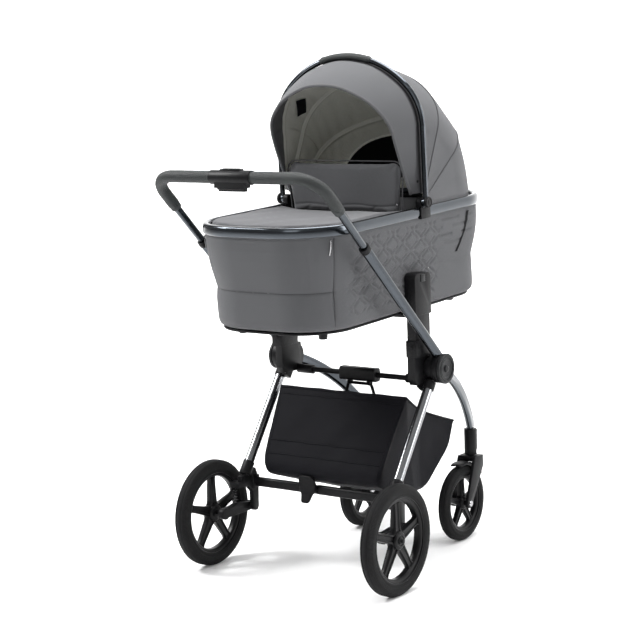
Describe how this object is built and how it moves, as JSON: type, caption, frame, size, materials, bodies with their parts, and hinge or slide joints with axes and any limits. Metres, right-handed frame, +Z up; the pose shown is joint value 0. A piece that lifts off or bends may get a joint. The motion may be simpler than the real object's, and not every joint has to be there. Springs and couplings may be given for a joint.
{
  "type": "baby stroller",
  "caption": "Baby pram: folding tubular chassis with sprung rear wheels, swivelling front wheels and a fabric carrycot with a folding hood and carry arch.",
  "frame": {"origin": "on the floor, under the middle of the pram's outline", "axes": "+Z up, +Y the way it is pushed, +X to the right of the person pushing"},
  "size_m": [0.627, 0.9078, 1.3307],
  "materials": {
    "black_plastic": "fine moulded grain",
    "grey_plastic": "satin",
    "webbing": "woven",
    "silver_tube": "bright satin",
    "basket_fabric": "coated woven",
    "spring_steel": "bright",
    "tyre_rubber": "matt",
    "rim_plastic": "satin moulded",
    "gunmetal_tube": "gloss anodised",
    "grip_leather": "grained leatherette",
    "cot_fabric": "matt woven",
    "hood_fabric": "matt woven",
    "mattress_fabric": "soft jersey"
  },
  "bodies": {
    "chassis": {"hub_right": "black_plastic", "hub_left": "black_plastic", "hub_covers": "grey_plastic", "crossbar": "black_plastic", "latch_box": "black_plastic", "rear_leg_right": "silver_tube", "rear_leg_left": "silver_tube", "rear_bracket_right": "black_plastic", "rear_bracket_left": "black_plastic", "brake_bar": "black_plastic", "seat_post_right": "black_plastic", "seat_post_left": "black_plastic", "basket": "basket_fabric"},
    "fold_loop": {"pull_loop": "webbing"},
    "brake": {"brake_pedal": "black_plastic"},
    "front_frame": {"front_leg_right": "gunmetal_tube", "front_leg_left": "gunmetal_tube", "caster_right": "black_plastic", "caster_left": "black_plastic"},
    "handle_base": {"push_tube_right": "gunmetal_tube", "push_tube_left": "gunmetal_tube", "tube_collars": "black_plastic"},
    "handle_top": {"handle_bow": "gunmetal_tube", "handle_grip": "grip_leather", "grip_collars": "grey_plastic", "handle_housing": "black_plastic"},
    "handle_button": {"handle_button": "grey_plastic"},
    "handle_trigger": {"handle_trigger": "black_plastic"},
    "cot": {"post_shell_right": "black_plastic", "post_shell_left": "black_plastic", "cot_body": "cot_fabric", "cot_base": "black_plastic", "mattress": "mattress_fabric", "cot_rim": "gunmetal_tube", "rim_sleeves": "black_plastic", "apron": "cot_fabric", "hood_rear": "hood_fabric"},
    "wind_flap": {"wind_flap": "cot_fabric"},
    "hood_mid": {"hood_mid": "hood_fabric"},
    "hood_front": {"hood_front": "hood_fabric", "carry_arch": "gunmetal_tube", "arch_grip": "grip_leather"},
    "rear_arm_right": {"rear_arm_right": "black_plastic", "rear_spring_right": "spring_steel"},
    "rear_wheel_right": {"rear_tyre_right": "tyre_rubber", "rear_rim_right": "rim_plastic"},
    "caster_lock_right": {"caster_lock_right": "grey_plastic"},
    "fork_right": {"fork_right": "black_plastic"},
    "front_wheel_right": {"front_tyre_right": "tyre_rubber", "front_rim_right": "rim_plastic"},
    "post_button_right": {"post_button_right": "grey_plastic"},
    "rear_arm_left": {"rear_arm_left": "black_plastic", "rear_spring_left": "spring_steel"},
    "rear_wheel_left": {"rear_tyre_left": "tyre_rubber", "rear_rim_left": "rim_plastic"},
    "caster_lock_left": {"caster_lock_left": "grey_plastic"},
    "fork_left": {"fork_left": "black_plastic"},
    "front_wheel_left": {"front_tyre_left": "tyre_rubber", "front_rim_left": "rim_plastic"},
    "post_button_left": {"post_button_left": "grey_plastic"}
  },
  "joints": [
    {"name": "handle_fold", "type": "hinge", "parent": "chassis", "child": "handle_base", "pos_m": [0, 0.07725, 0.5215], "axis": [1, 0, 0], "range_deg": [0, 75]},
    {"name": "front_leg_fold", "type": "hinge", "parent": "chassis", "child": "front_frame", "pos_m": [0, 0.07725, 0.5215], "axis": [1, 0, 0], "range_deg": [-40, 0]},
    {"name": "handle_extend", "type": "slide", "parent": "handle_base", "child": "handle_top", "axis": [0, 0.7181, -0.6959], "range_m": [0, 0.12]},
    {"name": "handle_button_press", "type": "slide", "parent": "handle_top", "child": "handle_button", "axis": [0, 0, -1], "range_m": [0, 0.0015], "stiffness_N_per_m": 600, "springref_m": -0.002},
    {"name": "handle_trigger_pull", "type": "slide", "parent": "handle_top", "child": "handle_trigger", "axis": [0, 0, 1], "range_m": [0, 0.005], "stiffness_N_per_m": 600, "springref_m": -0.003},
    {"name": "brake_press", "type": "hinge", "parent": "chassis", "child": "brake", "pos_m": [0, -0.09815, 0.208], "axis": [1, 0, 0], "range_deg": [0, 20]},
    {"name": "fold_loop_swing", "type": "hinge", "parent": "chassis", "child": "fold_loop", "pos_m": [0, 0.07725, 0.464], "axis": [1, 0, 0], "range_deg": [-40, 40]},
    {"name": "cot_lift", "type": "slide", "parent": "chassis", "child": "cot", "axis": [0, 0, 1], "range_m": [0, 0.09]},
    {"name": "wind_flap_fold", "type": "hinge", "parent": "cot", "child": "wind_flap", "pos_m": [0, 0.03713, 0.93835], "axis": [1, 0, 0], "range_deg": [0, 83]},
    {"name": "hood_fold", "type": "hinge", "parent": "cot", "child": "hood_front", "pos_m": [0, 0.06777, 0.94943], "axis": [-1, 0, 0], "range_deg": [0, 64]},
    {"name": "hood_mid_fold", "type": "hinge", "parent": "cot", "child": "hood_mid", "pos_m": [0, 0.06777, 0.94943], "axis": [-1, 0, 0], "range_deg": [0, 32]},
    {"name": "rear_suspension_right", "type": "hinge", "parent": "chassis", "child": "rear_arm_right", "pos_m": [0, -0.09815, 0.141], "axis": [-1, 0, 0], "range_deg": [0, 7], "stiffness_Nm_per_rad": 45, "springref_deg": -9.17, "deforming": ["rear_spring_right"]},
    {"name": "rear_wheel_spin_right", "type": "hinge", "parent": "rear_arm_right", "child": "rear_wheel_right", "pos_m": [0.2895, -0.20815, 0.14], "axis": [1, 0, 0], "continuous": true},
    {"name": "caster_swivel_right", "type": "hinge", "parent": "front_frame", "child": "fork_right", "pos_m": [0.162, 0.36885, 0.26], "axis": [0, 0, 1], "continuous": true},
    {"name": "front_wheel_spin_right", "type": "hinge", "parent": "fork_right", "child": "front_wheel_right", "pos_m": [0.162, 0.31485, 0.1035], "axis": [1, 0, 0], "continuous": true},
    {"name": "caster_lock_press_right", "type": "slide", "parent": "front_frame", "child": "caster_lock_right", "axis": [0, 0, -1], "range_m": [0, 0.0075]},
    {"name": "cot_release_right", "type": "slide", "parent": "cot", "child": "post_button_right", "axis": [-1, 0, 0], "range_m": [0, 0.003], "stiffness_N_per_m": 600, "springref_m": -0.002},
    {"name": "rear_suspension_left", "type": "hinge", "parent": "chassis", "child": "rear_arm_left", "pos_m": [0, -0.09815, 0.141], "axis": [-1, 0, 0], "range_deg": [0, 7], "stiffness_Nm_per_rad": 45, "springref_deg": -9.17, "deforming": ["rear_spring_left"]},
    {"name": "rear_wheel_spin_left", "type": "hinge", "parent": "rear_arm_left", "child": "rear_wheel_left", "pos_m": [-0.2895, -0.20815, 0.14], "axis": [1, 0, 0], "continuous": true},
    {"name": "caster_swivel_left", "type": "hinge", "parent": "front_frame", "child": "fork_left", "pos_m": [-0.162, 0.36885, 0.26], "axis": [0, 0, 1], "continuous": true},
    {"name": "front_wheel_spin_left", "type": "hinge", "parent": "fork_left", "child": "front_wheel_left", "pos_m": [-0.162, 0.31485, 0.1035], "axis": [1, 0, 0], "continuous": true},
    {"name": "caster_lock_press_left", "type": "slide", "parent": "front_frame", "child": "caster_lock_left", "axis": [0, 0, -1], "range_m": [0, 0.0075]},
    {"name": "cot_release_left", "type": "slide", "parent": "cot", "child": "post_button_left", "axis": [1, 0, 0], "range_m": [0, 0.003], "stiffness_N_per_m": 600, "springref_m": -0.002}
  ],
  "couplings": [
    {"joint": "front_leg_fold", "follows": "handle_fold", "ratio": -0.53333},
    {"joint": "hood_mid_fold", "follows": "hood_fold", "ratio": 0.5}
  ]
}
